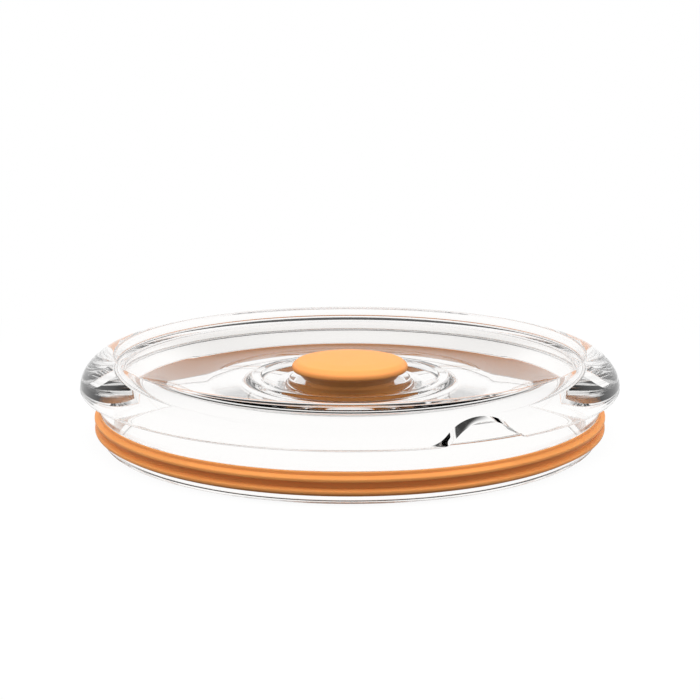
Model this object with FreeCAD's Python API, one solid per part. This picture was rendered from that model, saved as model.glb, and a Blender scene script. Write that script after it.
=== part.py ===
import FreeCAD, Part
import math
import os

# Lid of a round food storage bowl: a clear moulded shell with a thick rounded rim and a sunken
# dish, a soft double fin seal in the groove of its skirt, and a soft tapered vent plug.
# Millimetres, +Z up, origin in the middle of the skirt's lower edge, fingertip notch towards -Y.

# Rim
rim_d = 150.0            # outside
crest_z = 23.35          # highest line
rim_round_drop = 5.75    # from there down to where the rim is widest and starts to curl under
lip_drop = 2.05          # from there down to where the round top meets the dish's wall
lip_reach = 0.75         # from the highest line in to the dish's wall
flange_z = 14.05         # lowest line of the rim's round underside, which rests on the bowl

# Skirt that hangs inside the bowl's mouth
rim_overhang = 5.0       # of the rim beyond the skirt
skirt_t = 4.75           # from its outside above the seal to its bore
throat_reach = 0.7       # round corner between the skirt and the rim's underside
throat_drop = 1.75
foot_step = 0.75         # of the skirt below the seal, back from the skirt above it
groove_depth = 1.8       # of the seal's groove, from the skirt above it
groove_low_z = 2.0
groove_height = 6.05

# Top of the dish and of the hub in its middle
dish_step = 0.15         # from the skirt's bore in to the dish's wall
dish_wall_h = 1.15       # upright part of that wall
slope_end_d = 90.1       # circle where the floor's outer slope ends
slope_end_z = 14.0
floor_inner_z = 14.0     # where the floor meets the slope of the ring
ring_outer_d = 56.0      # raised ring round the hub
ring_slope_reach = 1.75  # from the ring out to the floor
ring_width = 2.8
ring_z = 15.3
moat_outer_d = 41.5      # sunken ring between hub ring and collar
moat_z = 13.15
collar_outer_d = 34.6    # upstanding collar of the vent hole
collar_root = 0.4        # wider where it stands in the moat
collar_z = 15.65

# Underside of the dish and of the hub
dish_edge_t = 1.15       # thickness at the skirt's bore
slope_end_t = 1.65
floor_inner_t = 2.2
ring_t = 2.9
under_slope_step = 1.75  # circle where the outer slope ends, further out than above
under_floor_step = 0.3   # and the same where the floor meets the hub
under_ring_step = 0.2
hub_root_step = 1.0      # outside the collar, where the hub's cone starts
hub_root_rise = 1.5      # from the hub's lower end to there
hub_foot_step = 1.5      # inside the collar, at the hub's lower end
hub_low_z = 8.15

# Fingertip notch in the underside of the rim
notch_width = 25.6
notch_height = 5.1
notch_crown_r = 12.0
notch_wall_gap = 0.4     # left between the skirt and the notch's inner wall

# Seal band
seal_root_t = 1.85       # from its bore to its plain outside
seal_fin_reach = 1.3     # of each fin beyond the plain outside
seal_fin_t = 0.8         # thickness of a fin at its tip
seal_fin_root = 0.6      # extra thickness where a fin leaves the band
fin_low_gap = 0.8        # from the band's lower end to the lower fin's tip
fin_pitch = 2.9          # from one fin tip to the next
seal_fit = 0.05          # radial clearance in the groove
seal_end_fit = 0.1       # clearance above and below the band

# Vent plug
head_d = 32.8            # head that the fingers grip
head_h = 2.65            # from its middle to the lower end of its side
head_crown = 0.8         # rise of the head's top from its edge to its middle
head_edge_drop = 0.2     # from the crown's edge down to the head's side
head_ledge = 1.5         # of the head beyond the neck
head_ledge_rise = 0.8    # from the neck to the head's side
head_gap = 0.65          # from the collar up to the head
neck_h = 2.3
neck_low_d = 25.2        # where the short steep neck turns into the long shank
shank_taper = 0.05       # on the radius, over the next length
shank_taper_h = 2.5
plug_reach = 1.6         # of the plug below the hub
plug_fit = 0.08          # radial clearance of the plug in its tapered hole

# Rounded edges
dish_corner_r = 5.3
slope_bend_r = 38.5      # where the floor's slope ends
hub_bend_r = 7.1         # where the floor meets the hub
ring_edge_r = 1.6
moat_edge_r = 1.8
collar_edge_r = 0.8
under_corner_r = 1.9     # under the floor, where the skirt starts
groove_edge_r = 0.1      # upper edge of the seal's groove
hub_root_r = 0.8
skirt_end_r = 0.6
foot_edge_r = 0.5
seal_edge_r = 0.3
head_edge_r = 1.2
head_under_r = 0.9
plug_end_r = 0.5

# Circles and heights that follow from these sizes
rim_r = rim_d / 2
skirt_r = rim_r - rim_overhang
bore_r = skirt_r - skirt_t
dish_r = bore_r - dish_step
groove_r = skirt_r - groove_depth
groove_top_z = groove_low_z + groove_height
neck_top_r = head_d / 2 - head_ledge
neck_top_z = collar_z + head_gap
neck_low_r = neck_low_d / 2
neck_low_z = neck_top_z - neck_h
shank_r = neck_low_r - shank_taper
shank_low_z = neck_low_z - shank_taper_h


def at(r, z):
    """A point of a section, at radius r and height z, in front of the axis."""
    return FreeCAD.Vector(r, 0, z)


def line(a, b):
    return Part.LineSegment(a, b).toShape()


def rounded(corners):
    """Edges from the first corner to the last. A corner is (r, z) or (r, z, fillet radius);
    a fillet takes at most half of the shorter of its two sides."""
    edges = []
    here = at(*corners[0][:2])
    for before, corner, after in zip(corners, corners[1:], corners[2:]):
        tip = at(*corner[:2])
        if len(corner) < 3:
            edges.append(line(here, tip))
            here = tip
            continue
        to_before = at(*before[:2]) - tip
        to_after = at(*after[:2]) - tip
        half = to_before.getAngle(to_after) / 2
        room = 0.49 * min(to_before.Length, to_after.Length)
        back = min(corner[2] / math.tan(half), room)
        to_before.normalize()
        to_after.normalize()
        start = tip + to_before * back
        end = tip + to_after * back
        inward = to_before + to_after
        inward.normalize()
        middle = tip + inward * back * (1 / math.cos(half) - math.tan(half))
        edges.append(line(here, start))
        edges.append(Part.Arc(start, middle, end).toShape())
        here = end
    edges.append(line(here, at(*corners[-1][:2])))
    return edges


def quarter(start, corner, end):
    """A quarter of an ellipse that leaves start and reaches end along the sides of corner."""
    curve = Part.BezierCurve()
    curve.setPoles([at(*start), at(*corner), at(*end)])
    curve.setWeight(2, math.sqrt(0.5))
    return curve.toShape()


def turned(edges):
    """The ring or disc that a closed section sweeps out round the Z axis."""
    face = Part.Face(Part.Wire(edges))
    return face.revolve(FreeCAD.Vector(0, 0, 0), FreeCAD.Vector(0, 0, 1), 360)


def shell_section():
    """Half section of the shell, from the rim's top inwards and back under the floor."""
    crest_r = dish_r + lip_reach
    widest_z = crest_z - rim_round_drop
    lip_z = crest_z - lip_drop
    dish_edge_z = lip_z - dish_wall_h
    slope_end_r = slope_end_d / 2
    ring_outer_r = ring_outer_d / 2
    ring_inner_r = ring_outer_r - ring_width
    floor_inner_r = ring_outer_r + ring_slope_reach
    under_ring_z = ring_z - ring_t
    collar_r = collar_outer_d / 2
    steep = (neck_top_r - neck_low_r) / (neck_top_z - neck_low_z)
    mouth_r = neck_low_r + plug_fit + steep * (collar_z - neck_low_z)
    foot_r = skirt_r - foot_step
    under_r = skirt_r + throat_reach
    path = rounded([
        (dish_r, lip_z),
        (dish_r, dish_edge_z, dish_corner_r),
        (slope_end_r, slope_end_z, slope_bend_r),
        (floor_inner_r, floor_inner_z, hub_bend_r),
        (ring_outer_r, ring_z, ring_edge_r),
        (ring_inner_r, ring_z, ring_edge_r),
        (moat_outer_d / 2, moat_z, moat_edge_r),
        (collar_r + collar_root, moat_z, collar_edge_r),
        (collar_r, collar_z, collar_edge_r),
        (mouth_r, collar_z, plug_end_r),
        (neck_low_r + plug_fit, neck_low_z),
        (shank_r + plug_fit, shank_low_z),
        (shank_r + plug_fit, hub_low_z),
        (collar_r - hub_foot_step, hub_low_z, plug_end_r),
        (collar_r + hub_root_step, hub_low_z + hub_root_rise, hub_root_r),
        (ring_inner_r, under_ring_z, ring_edge_r),
        (ring_outer_r + under_ring_step, under_ring_z, ring_edge_r),
        (floor_inner_r + under_floor_step, floor_inner_z - floor_inner_t, hub_bend_r),
        (slope_end_r + under_slope_step, slope_end_z - slope_end_t, slope_bend_r),
        (bore_r, dish_edge_z - dish_edge_t, under_corner_r),
        (bore_r, 0, skirt_end_r),
        (foot_r, 0, foot_edge_r),
        (foot_r, groove_low_z, seal_edge_r),
        (groove_r, groove_low_z),
        (groove_r, groove_top_z),
        (skirt_r, groove_top_z, groove_edge_r),
        (skirt_r, flange_z - throat_drop),
    ])
    throat = quarter((skirt_r, flange_z - throat_drop), (skirt_r, flange_z), (under_r, flange_z))
    underside = quarter((under_r, flange_z), (rim_r, flange_z), (rim_r, widest_z))
    outside = quarter((rim_r, widest_z), (rim_r, crest_z), (crest_r, crest_z))
    lip = quarter((crest_r, crest_z), (dish_r, crest_z), (dish_r, lip_z))
    return path + [throat, underside, outside, lip]


def notch_tool():
    """What the fingertip notch takes out of the rim: an arch with eased shoulders, from the
    outside in to a round wall just outside the skirt."""
    half = notch_width / 2
    shoulder_r = (half ** 2 + notch_height ** 2) / (2 * notch_height) - notch_crown_r
    lean = math.asin(half / (notch_crown_r + shoulder_r))
    top_z = flange_z + notch_height

    def crown(angle):
        drop = notch_crown_r * (1 - math.cos(angle))
        return FreeCAD.Vector(notch_crown_r * math.sin(angle), 0, top_z - drop)

    def shoulder(side, angle):
        x = side * (half - shoulder_r * math.sin(angle))
        return FreeCAD.Vector(x, 0, flange_z + shoulder_r * (1 - math.cos(angle)))

    below_z = flange_z - notch_height
    low_left = FreeCAD.Vector(-half, 0, below_z)
    low_right = FreeCAD.Vector(half, 0, below_z)
    outline = Part.Wire([
        line(low_left, shoulder(-1, 0)),
        Part.Arc(shoulder(-1, 0), shoulder(-1, lean / 2), crown(-lean)).toShape(),
        Part.Arc(crown(-lean), crown(0), crown(lean)).toShape(),
        Part.Arc(crown(lean), shoulder(1, lean / 2), shoulder(1, 0)).toShape(),
        line(shoulder(1, 0), low_right),
        line(low_right, low_left),
    ])
    channel = Part.Face(outline).extrude(FreeCAD.Vector(0, -rim_d, 0))
    core = Part.makeCylinder(skirt_r + notch_wall_gap, crest_z)
    return channel.cut(core)


def lid_shell():
    return turned(shell_section()).cut(notch_tool())


def rim_seal():
    """Seal band: plain band in the groove with two fins that the bowl's mouth bends."""
    inner_r = groove_r + seal_fit
    band_r = inner_r + seal_root_t
    tip_r = band_r + seal_fin_reach
    low_z = groove_low_z + seal_end_fit
    top_z = groove_top_z - seal_end_fit
    corners = [(inner_r, low_z), (band_r, low_z, seal_edge_r)]
    for fin in range(2):
        tip_z = low_z + fin_low_gap + fin * fin_pitch
        corners += [
            (band_r, tip_z - seal_fin_root / 2, seal_edge_r / 2),
            (tip_r, tip_z, seal_edge_r),
            (tip_r, tip_z + seal_fin_t, seal_edge_r),
            (band_r, tip_z + seal_fin_t + seal_fin_root, seal_edge_r / 2),
        ]
    corners += [(band_r, top_z, seal_edge_r), (inner_r, top_z)]
    return turned(rounded(corners) + [line(at(inner_r, top_z), at(inner_r, low_z))])


def vent_plug():
    """Tapered stopper: domed head, steep neck that seats in the collar, long plain shank."""
    head_r = head_d / 2
    head_low_z = neck_top_z + head_ledge_rise
    head_top_z = head_low_z + head_h
    low_z = hub_low_z - plug_reach
    dome_r = head_r - head_edge_r
    dome_edge_z = head_top_z - head_crown
    bow = head_crown * (1 - (0.5 ** 2))
    dome = Part.Arc(at(0, head_top_z), at(dome_r / 2, dome_edge_z + bow), at(dome_r, dome_edge_z))
    side = rounded([
        (dome_r, dome_edge_z),
        (head_r, dome_edge_z - head_edge_drop, head_edge_r),
        (head_r, head_low_z, head_under_r),
        (neck_top_r, neck_top_z, plug_end_r),
        (neck_low_r, neck_low_z),
        (shank_r, shank_low_z),
        (shank_r, low_z, plug_end_r),
        (0, low_z),
    ])
    axis = line(at(0, low_z), at(0, head_top_z))
    return turned([dome.toShape()] + side + [axis])


os.makedirs("parts", exist_ok=True)
for name, make in (("lid_shell", lid_shell), ("rim_seal", rim_seal), ("vent_plug", vent_plug)):
    shape = make()
    if not shape.isValid() or len(shape.Solids) != 1:
        raise ValueError(name + " is not one sound solid")
    box = shape.BoundBox
    print(name, round(shape.Volume), [round(v, 2) for v in (box.XLength, box.YLength, box.ZMin, box.ZMax)])
    shape.exportStep("parts/" + name + ".step")
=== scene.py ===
import math

import bmesh
import bpy
from mathutils import Matrix, Vector


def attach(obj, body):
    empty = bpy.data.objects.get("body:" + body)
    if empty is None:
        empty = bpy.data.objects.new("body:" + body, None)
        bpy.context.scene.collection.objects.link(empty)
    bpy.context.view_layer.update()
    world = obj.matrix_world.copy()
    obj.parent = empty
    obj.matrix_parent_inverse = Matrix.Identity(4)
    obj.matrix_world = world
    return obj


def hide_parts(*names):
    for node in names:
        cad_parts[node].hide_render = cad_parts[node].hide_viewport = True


# Lid of a round food storage bowl: a clear moulded shell, the silicone seal round its skirt and
# the silicone vent plug in its middle. It stands on its skirt, fingertip notch to the front.
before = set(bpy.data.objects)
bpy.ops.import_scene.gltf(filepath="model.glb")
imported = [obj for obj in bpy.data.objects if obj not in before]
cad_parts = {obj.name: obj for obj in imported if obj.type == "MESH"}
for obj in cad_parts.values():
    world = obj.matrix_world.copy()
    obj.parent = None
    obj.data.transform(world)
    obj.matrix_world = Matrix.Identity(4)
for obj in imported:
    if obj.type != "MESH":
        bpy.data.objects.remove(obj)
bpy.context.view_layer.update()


# ---------------------------------------------------------------- clear shell
# The lid's body is one injection moulding in clear acrylic: a thick rounded rim, a wavy dish
# sunk inside it, a tapered collar for the plug and a skirt with a groove for the seal. The
# moulding has no joins, so light bends through it everywhere and it shows mostly as lines.

MM = 0.001                # sizes are in millimetres until a mesh is made

RIM_R = 75.0              # outside of the rim
RIM_WIDEST_Z = 14.8       # where the rim is widest, just above its rounded lower edge
RIM_FULLNESS = 1.85       # the rim's shoulder is a little flatter than an ellipse
CREST_R = 65.85           # circle along the rim's highest line
CREST_Z = 23.35
FLANGE_Z = 14.05          # the rim's flat underside, which lies on the bowl's edge
UNDER_ROUND = 0.9         # width of the rounded edge between underside and outside
THROAT_OUT = 0.7          # rounded corner between the skirt and the rim's underside
THROAT_DOWN = 1.75
DISH_R = 65.1             # wall round the dish
DISH_LIP_Z = 21.3         # top of that wall, where it rounds over to the crest
SKIRT_R = 70.0
BORE_R = 65.25            # inside of the skirt
FOOT_R = 69.25            # outside of the skirt below the seal
GROOVE_R = 68.2
GROOVE_LOW_Z = 2.0
GROOVE_TOP_Z = 8.05

# Corners of the section, as radius, height and radius of the bend there. First the dish's floor,
# from the wall in to the collar
DISH_FLOOR = [
    (DISH_R, 20.15, 5.3),
    (45.05, 14.0, 38.5),
    (29.75, 14.0, 7.1),
    (28.0, 15.3, 1.6),
    (25.2, 15.3, 1.6),
    (20.75, 13.15, 1.8),
    (17.7, 13.15, 0.8),
    (17.3, 14.7, 0.8),
]
# The vent hole with its tapered mouth, and the hub's lower end
HUB = [
    (13.38, 14.7, 0.5),
    (12.68, 14.0, 0.0),
    (12.63, 11.5, 0.0),
    (12.63, 8.15, 0.0),
    (15.8, 8.15, 0.5),
    (18.3, 9.65, 0.8),
]
# The underside of the dish, from the hub out to the skirt
DISH_UNDER = [
    (25.2, 12.4, 1.6),
    (28.2, 12.4, 1.6),
    (30.05, 11.8, 7.1),
    (46.8, 12.35, 38.5),
    (BORE_R, 19.0, 1.9),
]
# The skirt, from its inside round the foot and past the seal's groove
SKIRT = [
    (BORE_R, 0.0, 0.3),
    (FOOT_R, 0.0, 0.3),
    (FOOT_R, GROOVE_LOW_Z, 0.3),
    (GROOVE_R, GROOVE_LOW_Z, 0.0),
    (GROOVE_R, GROOVE_TOP_Z, 0.0),
    (SKIRT_R, GROOVE_TOP_Z, 0.1),
]

NOTCH_HALF_W = 12.8       # fingertip notch in the underside of the rim
NOTCH_H = 5.1
NOTCH_CROWN_R = 12.0
NOTCH_INNER_R = SKIRT_R + 0.4
NOTCH_STEPS = 96
CUT_OVER = 0.001          # how far the cutter goes past the underside where the notch is 0 high
CUT_BELOW = 4.0           # how far it sticks out below the rim and outside it
CUT_OUTSIDE = 5.0

SHELL_TURNS = 600         # faces round the shell, fine enough for clean refraction
RIM_ARC_STEPS = 100
LIP_ARC_STEPS = 24
BEND_STEPS = 10
SHELL_SHARP = 25          # edges that turn more than this many degrees show as edges


def rounded(corners, steps):
    """Points along a path of (radius, height, bend radius) corners with each corner rounded."""
    points = [Vector(corners[0][:2])]
    for before, corner, after in zip(corners, corners[1:], corners[2:]):
        tip = Vector(corner[:2])
        if not corner[2]:
            points.append(tip)
            continue
        to_before = Vector(before[:2]) - tip
        to_after = Vector(after[:2]) - tip
        half = to_before.angle(to_after) / 2
        # A bend uses up at most just under half of each side, so that two never overlap
        back = min(corner[2] / math.tan(half), 0.49 * min(to_before.length, to_after.length))
        bend_r = back * math.tan(half)
        start = tip + to_before.normalized() * back
        inward = (to_before.normalized() + to_after.normalized()).normalized()
        centre = tip + inward * (bend_r / math.sin(half))
        arm = start - centre
        turn = math.pi - 2 * half
        if to_before.cross(to_after) > 0:
            turn = -turn
        for step in range(steps + 1):
            a = turn * step / steps
            points.append(centre + Vector((
                arm.x * math.cos(a) - arm.y * math.sin(a),
                arm.x * math.sin(a) + arm.y * math.cos(a),
            )))
    points.append(Vector(corners[-1][:2]))
    return points


def quarter(start, end, steps, fullness=2.0):
    """Points of a quarter ellipse that leaves start upright and reaches end level. A fullness
    below 2 makes its shoulder flatter."""
    power = 2 / fullness
    points = []
    for step in range(steps + 1):
        a = math.pi / 2 * step / steps
        points.append(Vector((
            end[0] + (start[0] - end[0]) * math.cos(a) ** power,
            start[1] + (end[1] - start[1]) * math.sin(a) ** power,
        )))
    return points


def placed(name, mesh):
    """An object with this mesh, put in the scene."""
    made = bpy.data.objects.new(name, mesh)
    bpy.context.scene.collection.objects.link(made)
    return made


def turned(name, section, turns):
    """A mesh object that a closed section in millimetres sweeps out round the Z axis. Section
    points on the axis are shared by all the faces that meet there, and a side of the section
    along the axis makes no faces."""
    mesh = bpy.data.meshes.new(name)
    bm = bmesh.new()
    columns = []
    for turn in range(turns):
        angle = 2 * math.pi * turn / turns
        columns.append([
            bm.verts.new((p.x * MM * math.cos(angle), p.x * MM * math.sin(angle), p.y * MM))
            for p in section
        ])
    for column, following in zip(columns, columns[1:] + columns[:1]):
        for i in range(len(section)):
            j = (i + 1) % len(section)
            if section[i].x or section[j].x:
                bm.faces.new((column[i], following[i], following[j], column[j]))
    bmesh.ops.remove_doubles(bm, verts=bm.verts, dist=1e-7)
    bmesh.ops.recalc_face_normals(bm, faces=bm.faces)
    bm.to_mesh(mesh)
    bm.free()
    return placed(name, mesh)


def smooth(piece, sharp_degrees):
    """Shades the piece smooth, apart from edges that turn more than this."""
    piece.data.shade_smooth()
    piece.data.set_sharp_from_angle(angle=math.radians(sharp_degrees))


def linear(colour):
    """An sRGB hex colour as linear red, green, blue and alpha."""
    shares = [int(colour[i:i + 2], 16) / 255 for i in (0, 2, 4)]
    return [s / 12.92 if s <= 0.04045 else ((s + 0.055) / 1.055) ** 2.4 for s in shares] + [1]


def add_node(tree, kind, settings=None, inputs=None):
    """A node with its settings, and with inputs given as values or as sockets to link."""
    made = tree.nodes.new(kind)
    for name, value in (settings or {}).items():
        setattr(made, name, value)
    for name, value in (inputs or {}).items():
        if isinstance(value, bpy.types.NodeSocket):
            tree.links.new(value, made.inputs[name])
        else:
            made.inputs[name].default_value = value
    return made


def notch_cutter():
    """The block that the fingertip notch takes out of the rim: an arch with eased shoulders,
    from outside the rim in to a round wall just off the skirt."""
    shoulder_r = (NOTCH_HALF_W ** 2 + NOTCH_H ** 2) / (2 * NOTCH_H) - NOTCH_CROWN_R
    crown_half_w = NOTCH_HALF_W * NOTCH_CROWN_R / (NOTCH_CROWN_R + shoulder_r)
    low_z = FLANGE_Z - CUT_BELOW
    outer_r = RIM_R + CUT_OUTSIDE
    bm = bmesh.new()
    rings = []
    for step in range(NOTCH_STEPS + 1):
        x = NOTCH_HALF_W * (2 * step / NOTCH_STEPS - 1)
        if abs(x) <= crown_half_w:
            up = NOTCH_H - NOTCH_CROWN_R + math.sqrt(NOTCH_CROWN_R ** 2 - x ** 2)
        else:
            up = shoulder_r - math.sqrt(shoulder_r ** 2 - (NOTCH_HALF_W - abs(x)) ** 2)
        top_z = FLANGE_Z + max(up, 0.0) - CUT_OVER
        corners = (
            (NOTCH_INNER_R, low_z), (outer_r, low_z), (outer_r, top_z), (NOTCH_INNER_R, top_z),
        )
        rings.append([
            bm.verts.new((x * MM, -math.sqrt(r ** 2 - x ** 2) * MM, z * MM)) for r, z in corners
        ])
    for ring, following in zip(rings, rings[1:]):
        for i in range(4):
            j = (i + 1) % 4
            bm.faces.new((ring[i], ring[j], following[j], following[i]))
    bm.faces.new(rings[0])
    bm.faces.new(rings[-1])
    bmesh.ops.recalc_face_normals(bm, faces=bm.faces)
    mesh = bpy.data.meshes.new("notch_cutter")
    bm.to_mesh(mesh)
    bm.free()
    return placed("notch_cutter", mesh)


inner_section = rounded(
    [(DISH_R, DISH_LIP_Z, 0)] + DISH_FLOOR + HUB + DISH_UNDER + SKIRT
    + [(SKIRT_R, FLANGE_Z - THROAT_DOWN, 0)],
    BEND_STEPS,
)
crest = (CREST_R, CREST_Z)
under_rim_inside = (SKIRT_R + THROAT_OUT, FLANGE_Z)
under_rim_outside = (RIM_R - UNDER_ROUND, FLANGE_Z)
shell_section = (
    quarter((RIM_R, RIM_WIDEST_Z), crest, RIM_ARC_STEPS, RIM_FULLNESS)
    + quarter((DISH_R, DISH_LIP_Z), crest, LIP_ARC_STEPS)[-2::-1]
    + inner_section[1:-1]
    + quarter((SKIRT_R, FLANGE_Z - THROAT_DOWN), under_rim_inside, LIP_ARC_STEPS)
    + quarter((RIM_R, RIM_WIDEST_Z), under_rim_outside, LIP_ARC_STEPS)[:0:-1]
)
shell = turned("lid_shell_clear", shell_section, SHELL_TURNS)
cutter = notch_cutter()
for piece, label in ((shell, "turned"), (cutter, "cut")):
    piece.data.materials.append(bpy.data.materials.new(label))
cut = shell.modifiers.new("fingertip notch", "BOOLEAN")
cut.object = cutter
cut.operation = "DIFFERENCE"
cut.solver = "EXACT"
cut.material_mode = "TRANSFER"
whole = bpy.data.meshes.new_from_object(shell.evaluated_get(bpy.context.evaluated_depsgraph_get()))
shell.modifiers.clear()
shell.data = whole
bpy.data.objects.remove(cutter)
smooth(shell, SHELL_SHARP)
# The notch's own edge stays crisp all along, also where its eased shoulders run out into the
# rim's underside at a low angle. It is where the turned faces meet the cut ones
bm = bmesh.new()
bm.from_mesh(whole)
for edge in bm.edges:
    if len({face.material_index for face in edge.link_faces}) > 1:
        edge.smooth = False
bm.to_mesh(whole)
bm.free()
whole.materials.clear()

# Acrylic straight from a polished mould: IOR 1.49, water clear, mirror smooth. Its faces have
# the faint slow waviness of a moulding that shrank as it cooled, about 9 mm from crest to crest.
# The specular tint holds back the gloss, which adds up over the many faces one behind another.
acrylic = bpy.data.materials.new("moulded_clear_acrylic")
acrylic.use_nodes = True
tree = acrylic.node_tree
place = add_node(tree, "ShaderNodeTexCoord")
shrink_waves = add_node(tree, "ShaderNodeTexNoise", {"noise_dimensions": "3D"}, {
    "Vector": place.outputs["Object"],
    "Scale": 110.0,
    "Detail": 0.0,
})
waviness = add_node(tree, "ShaderNodeBump", {}, {
    "Strength": 0.004,
    "Distance": 1.0 * MM,
    "Height": shrink_waves.outputs[0],
})
clear = tree.nodes["Principled BSDF"]
clear.inputs["Base Color"].default_value = linear("FFFEFD")
clear.inputs["Roughness"].default_value = 0.0
clear.inputs["IOR"].default_value = 1.49
clear.inputs["Specular Tint"].default_value = linear("777777")
clear.inputs["Transmission Weight"].default_value = 1.0
tree.links.new(waviness.outputs["Normal"], clear.inputs["Normal"])
# Lamps reach what is behind the clear plastic, so that it throws only a faint shadow
path = add_node(tree, "ShaderNodeLightPath")
let_through = add_node(tree, "ShaderNodeBsdfTransparent", {}, {"Color": linear("FBFCFC")})
for_lamps = add_node(tree, "ShaderNodeMixShader", {}, {
    0: path.outputs["Is Shadow Ray"],
    1: clear.outputs["BSDF"],
    2: let_through.outputs["BSDF"],
})
tree.links.new(for_lamps.outputs["Shader"], tree.nodes["Material Output"].inputs["Surface"])
shell.data.materials.append(acrylic)
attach(shell, "lid")
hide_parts("lid_shell")


# ---------------------------------------------------------------- seal band
# One ring of soft orange silicone, moulded with two thin fins and stretched into the skirt's
# groove. The bowl's mouth bends the fins up, which keeps the lid on and the air out.

SEAL_BORE_R = 68.25
SEAL_BAND_R = 70.1
SEAL_TIP_R = 71.4
SEAL_LOW_Z = 2.1
SEAL_TOP_Z = 7.95
FIN_TIP_Z = (2.9, 5.8)    # lower edge of each fin's tip
FIN_TIP_T = 0.8
FIN_BELOW = 0.3           # extra thickness where a fin leaves the band
FIN_ABOVE = 0.5
SEAL_TURNS = 480
SEAL_BEND_STEPS = 6
SILICONE_SHARP = 40

seal_corners = [
    (SEAL_BORE_R, (SEAL_LOW_Z + SEAL_TOP_Z) / 2, 0),
    (SEAL_BORE_R, SEAL_LOW_Z, 0.1),
    (SEAL_BAND_R, SEAL_LOW_Z, 0.3),
]
for tip_z in FIN_TIP_Z:
    seal_corners += [
        (SEAL_BAND_R, tip_z - FIN_BELOW, 0.15),
        (SEAL_TIP_R, tip_z, 0.35),
        (SEAL_TIP_R, tip_z + FIN_TIP_T, 0.35),
        (SEAL_BAND_R, tip_z + FIN_TIP_T + FIN_ABOVE, 0.15),
    ]
seal_corners += [
    (SEAL_BAND_R, SEAL_TOP_Z, 0.3),
    (SEAL_BORE_R, SEAL_TOP_Z, 0.1),
    seal_corners[0],
]
seal = turned("rim_seal_silicone", rounded(seal_corners, SEAL_BEND_STEPS)[:-1], SEAL_TURNS)
smooth(seal, SILICONE_SHARP)

# Platinum cured silicone rubber, moulded satin: IOR 1.41, roughness about a half, and a little
# light passing under its skin. The mould was blasted, which leaves a grain of about 0.25 mm, and
# the colour and the dullness drift a little over some 6 mm.
silicone = bpy.data.materials.new("moulded_orange_silicone")
silicone.use_nodes = True
tree = silicone.node_tree
place = add_node(tree, "ShaderNodeTexCoord")
grain = add_node(tree, "ShaderNodeTexNoise", {"noise_dimensions": "3D"}, {
    "Vector": place.outputs["Object"],
    "Scale": 1 / (0.25 * MM),
    "Detail": 1.0,
})
skin = add_node(tree, "ShaderNodeBump", {}, {
    "Strength": 0.25,
    "Distance": 0.03 * MM,
    "Height": grain.outputs[0],
})
cloud = add_node(tree, "ShaderNodeTexNoise", {"noise_dimensions": "3D"}, {
    "Vector": place.outputs["Object"],
    "Scale": 1 / (6.25 * MM),
    "Detail": 2.0,
})
tint = add_node(tree, "ShaderNodeMix", {"data_type": "RGBA"}, {"Factor": cloud.outputs[0]})
tint.inputs[6].default_value = linear("F7A259")
tint.inputs[7].default_value = linear("F9A65E")
dull = add_node(tree, "ShaderNodeMapRange", {}, {
    "Value": cloud.outputs[0],
    "To Min": 0.45,
    "To Max": 0.58,
})
rubber = tree.nodes["Principled BSDF"]
rubber.inputs["IOR"].default_value = 1.41
rubber.inputs["Specular IOR Level"].default_value = 0.35
rubber.inputs["Subsurface Weight"].default_value = 0.12
rubber.inputs["Subsurface Radius"].default_value = (1.0, 0.45, 0.2)
rubber.inputs["Subsurface Scale"].default_value = 1.2 * MM
tree.links.new(tint.outputs[2], rubber.inputs["Base Color"])
tree.links.new(dull.outputs["Result"], rubber.inputs["Roughness"])
tree.links.new(skin.outputs["Normal"], rubber.inputs["Normal"])
seal.data.materials.append(silicone)
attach(seal, "lid")
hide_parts("rim_seal")


# ---------------------------------------------------------------- vent plug
# A stopper moulded from the same orange silicone: a low domed head for the fingers, a steep
# neck that seats in the collar and a plain shank. The shank goes 0.05 mm into the hole's wall,
# as squeezed rubber lies against plastic with no air between. Pulled up, it lets the air in.

PLUG = [
    (0.0, 20.1, 0),
    (10.0, 19.9, 9.0),
    (14.9, 19.4, 2.0),
    (16.4, 18.2, 1.7),
    (16.4, 16.9, 0.7),
    (14.9, 16.3, 0.4),
    (12.7, 14.0, 0.3),
    (12.68, 8.5, 0.1),
    (12.5, 6.55, 0.5),
    (0.0, 6.55, 0),
]
PLUG_TURNS = 240
PLUG_BEND_STEPS = 8

plug = turned("vent_plug_silicone", rounded(PLUG, PLUG_BEND_STEPS), PLUG_TURNS)
smooth(plug, SILICONE_SHARP)
plug.data.materials.append(silicone)
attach(plug, "plug")
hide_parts("vent_plug")


# ---------------------------------------------------------------- studio
# A white table top that runs into a white background, under one big soft light from above. The
# ceiling round the light is dark, and the clear plastic shows it where it bends the view up.

TABLE_HALF = 4.0          # the studio's sizes are in metres
GAP_UNDER_FOOT = 0.02 * MM
SHADOW_SHARE = 0.06       # of the table top's own light that the eye gets; the rest is white
SHADOW_FROM = 0.08        # distances from the lid's axis over which that share goes to nothing
SHADOW_TO = 0.22
HORIZON_LIGHT = 0.2       # the room's light on the object, from the side and from overhead
OVERHEAD_LIGHT = 0.7
CEILING_FROM = 0.38       # sine of the elevation where the background starts to darken
CEILING_TO = 0.62
CEILING_LEVEL = 0.05
LAMP_SIZE = (2.4, 0.5)
LAMP_WATTS = 9.5
LAMP_PLACE = (-0.07, -0.15, 0.55)
LAMP_TURN = math.radians(-25.0)    # its long side lies across the camera's view
WHITE = (1, 1, 1, 1)


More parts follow.
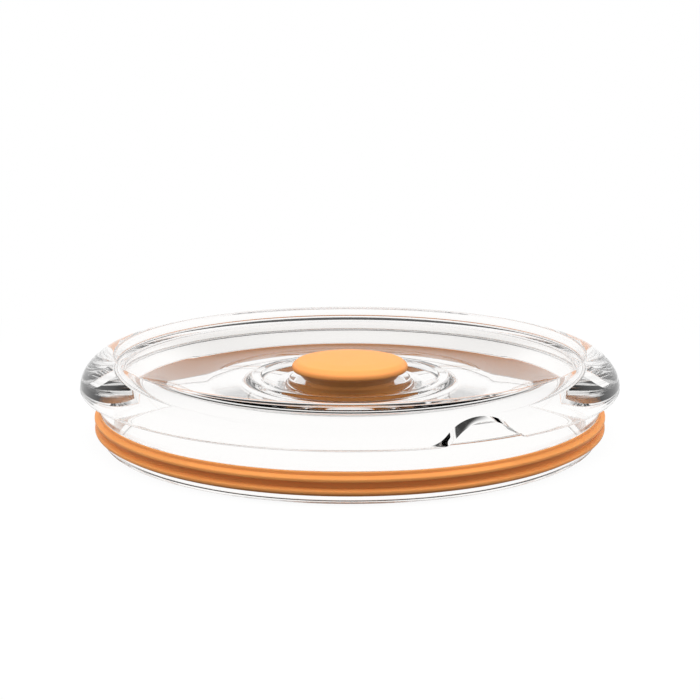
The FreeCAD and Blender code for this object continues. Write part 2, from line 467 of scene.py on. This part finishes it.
def eye_rays(tree):
    """1 for rays that bring the eye its view, straight or by way of gloss and clear plastic, and
    0 for rays that light a matt surface, also those that reach it through the plastic."""
    path = add_node(tree, "ShaderNodeLightPath")
    mirrored = add_node(tree, "ShaderNodeMath", {"operation": "MAXIMUM"}, {
        0: path.outputs["Is Camera Ray"],
        1: path.outputs["Is Glossy Ray"],
    })
    seen = add_node(tree, "ShaderNodeMath", {"operation": "MAXIMUM"}, {
        0: mirrored.outputs[0],
        1: path.outputs["Is Transmission Ray"],
    })
    before_matt = add_node(tree, "ShaderNodeMath", {"operation": "LESS_THAN"}, {
        0: path.outputs["Diffuse Depth"],
        1: 0.5,
    })
    both = add_node(tree, "ShaderNodeMath", {"operation": "MULTIPLY"}, {
        0: seen.outputs[0],
        1: before_matt.outputs[0],
    })
    return both.outputs[0]


mesh = bpy.data.meshes.new("table_top")
table_corners = [
    (x * TABLE_HALF, y * TABLE_HALF, -GAP_UNDER_FOOT)
    for x, y in ((-1, -1), (1, -1), (1, 1), (-1, 1))
]
mesh.from_pydata(table_corners, [], [(0, 1, 2, 3)])
table = placed("table_top", mesh)

# White laminate. The eye gets its plain white with a small share of the lit board, for the soft
# shadow under the lid; the light that it throws back up at the object is that of a grey board
laminate = bpy.data.materials.new("white_laminate")
laminate.use_nodes = True
tree = laminate.node_tree
board = tree.nodes["Principled BSDF"]
board.inputs["Base Color"].default_value = linear("FAFAFA")
board.inputs["Roughness"].default_value = 0.6
board.inputs["Specular IOR Level"].default_value = 0.0
bounce = add_node(tree, "ShaderNodeBsdfDiffuse", {}, {"Color": linear("666666")})
plain = add_node(tree, "ShaderNodeEmission", {}, {"Color": WHITE, "Strength": 1.0})
place = add_node(tree, "ShaderNodeTexCoord")
away = add_node(tree, "ShaderNodeVectorMath", {"operation": "LENGTH"}, {0: place.outputs["Object"]})
fade = add_node(tree, "ShaderNodeMapRange", {"interpolation_type": "SMOOTHSTEP"}, {
    "Value": away.outputs["Value"],
    "From Min": SHADOW_FROM,
    "From Max": SHADOW_TO,
    "To Min": 1 - SHADOW_SHARE,
    "To Max": 1.0,
})
lit = add_node(tree, "ShaderNodeMixShader", {}, {
    0: fade.outputs["Result"],
    1: board.outputs["BSDF"],
    2: plain.outputs["Emission"],
})
top = add_node(tree, "ShaderNodeMixShader", {}, {
    0: eye_rays(tree),
    1: bounce.outputs["BSDF"],
    2: lit.outputs["Shader"],
})
tree.links.new(top.outputs["Shader"], tree.nodes["Material Output"].inputs["Surface"])
table.data.materials.append(laminate)

# The room: its light on the object is dim at the horizon and brightest overhead, as under a wide
# soft box, while the eye sees a white background that darkens to the ceiling
world = bpy.data.worlds.new("studio")
bpy.context.scene.world = world
world.use_nodes = True
tree = world.node_tree
place = add_node(tree, "ShaderNodeTexCoord")
split = add_node(tree, "ShaderNodeSeparateXYZ", {}, {"Vector": place.outputs["Generated"]})
height = add_node(tree, "ShaderNodeMapRange", {}, {
    "Value": split.outputs["Z"],
    "From Min": 0.0,
    "From Max": 1.0,
    "To Min": HORIZON_LIGHT,
    "To Max": OVERHEAD_LIGHT,
})
light = tree.nodes["Background"]
light.inputs["Color"].default_value = WHITE
tree.links.new(height.outputs["Result"], light.inputs["Strength"])
ceiling = add_node(tree, "ShaderNodeMapRange", {"interpolation_type": "SMOOTHSTEP"}, {
    "Value": split.outputs["Z"],
    "From Min": CEILING_FROM,
    "From Max": CEILING_TO,
    "To Min": 1.0,
    "To Max": CEILING_LEVEL,
})
backdrop = add_node(tree, "ShaderNodeBackground", {}, {
    "Color": WHITE,
    "Strength": ceiling.outputs["Result"],
})
sky = add_node(tree, "ShaderNodeMixShader", {}, {
    0: eye_rays(tree),
    1: light.outputs["Background"],
    2: backdrop.outputs["Background"],
})
tree.links.new(sky.outputs["Shader"], tree.nodes["World Output"].inputs["Surface"])

lamp = bpy.data.lights.new("soft_box", "AREA")
lamp.shape = "RECTANGLE"
lamp.size, lamp.size_y = LAMP_SIZE
lamp.energy = LAMP_WATTS
soft_box = placed("soft_box", lamp)
soft_box.location = LAMP_PLACE
soft_box.rotation_euler = (0, 0, LAMP_TURN)
soft_box.visible_glossy = False
soft_box.visible_transmission = False
soft_box.visible_camera = False


# ---------------------------------------------------------------- camera
# A long lens a little above the rim, turned 25 degrees past the notch. It is aimed over the lid,
# which stands below the middle of the frame.

FOCAL_PX = 1250.0         # focal length, in pixels of the 700 pixel frame
FRAME_PX = 700.0
SENSOR_MM = 36.0
PX_PER_MM = 3.493         # scale at the middle of the lid's foot
PITCH = math.radians(11.69)
TURN = math.radians(-25.0)
MIDDLE_PX = (349.9, 426.1)    # where the middle of the lid's foot is in the frame
LIGHT_BOUNCES = 12        # enough for a view through all the faces one behind another

camera = placed("camera", bpy.data.cameras.new("camera"))
bpy.context.scene.camera = camera
camera.data.sensor_width = SENSOR_MM
camera.data.lens = SENSOR_MM * FOCAL_PX / FRAME_PX
camera.data.clip_start = 0.01
ahead = Vector((0, math.cos(PITCH), -math.sin(PITCH)))
up = Vector((0, math.sin(PITCH), math.cos(PITCH)))
right = Vector((1, 0, 0))
back = FOCAL_PX / PX_PER_MM
eye = -(
    ahead * back
    + right * ((MIDDLE_PX[0] - FRAME_PX / 2) / PX_PER_MM)
    + up * ((FRAME_PX / 2 - MIDDLE_PX[1]) / PX_PER_MM)
) * MM
facing = Matrix((right, up, -ahead)).transposed().to_4x4()
camera.matrix_world = Matrix.Rotation(TURN, 4, "Z") @ Matrix.Translation(eye) @ facing

scene = bpy.context.scene
scene.view_settings.view_transform = "Standard"
scene.cycles.use_denoising = True
scene.cycles.max_bounces = LIGHT_BOUNCES
scene.cycles.transmission_bounces = LIGHT_BOUNCES
scene.cycles.glossy_bounces = LIGHT_BOUNCES
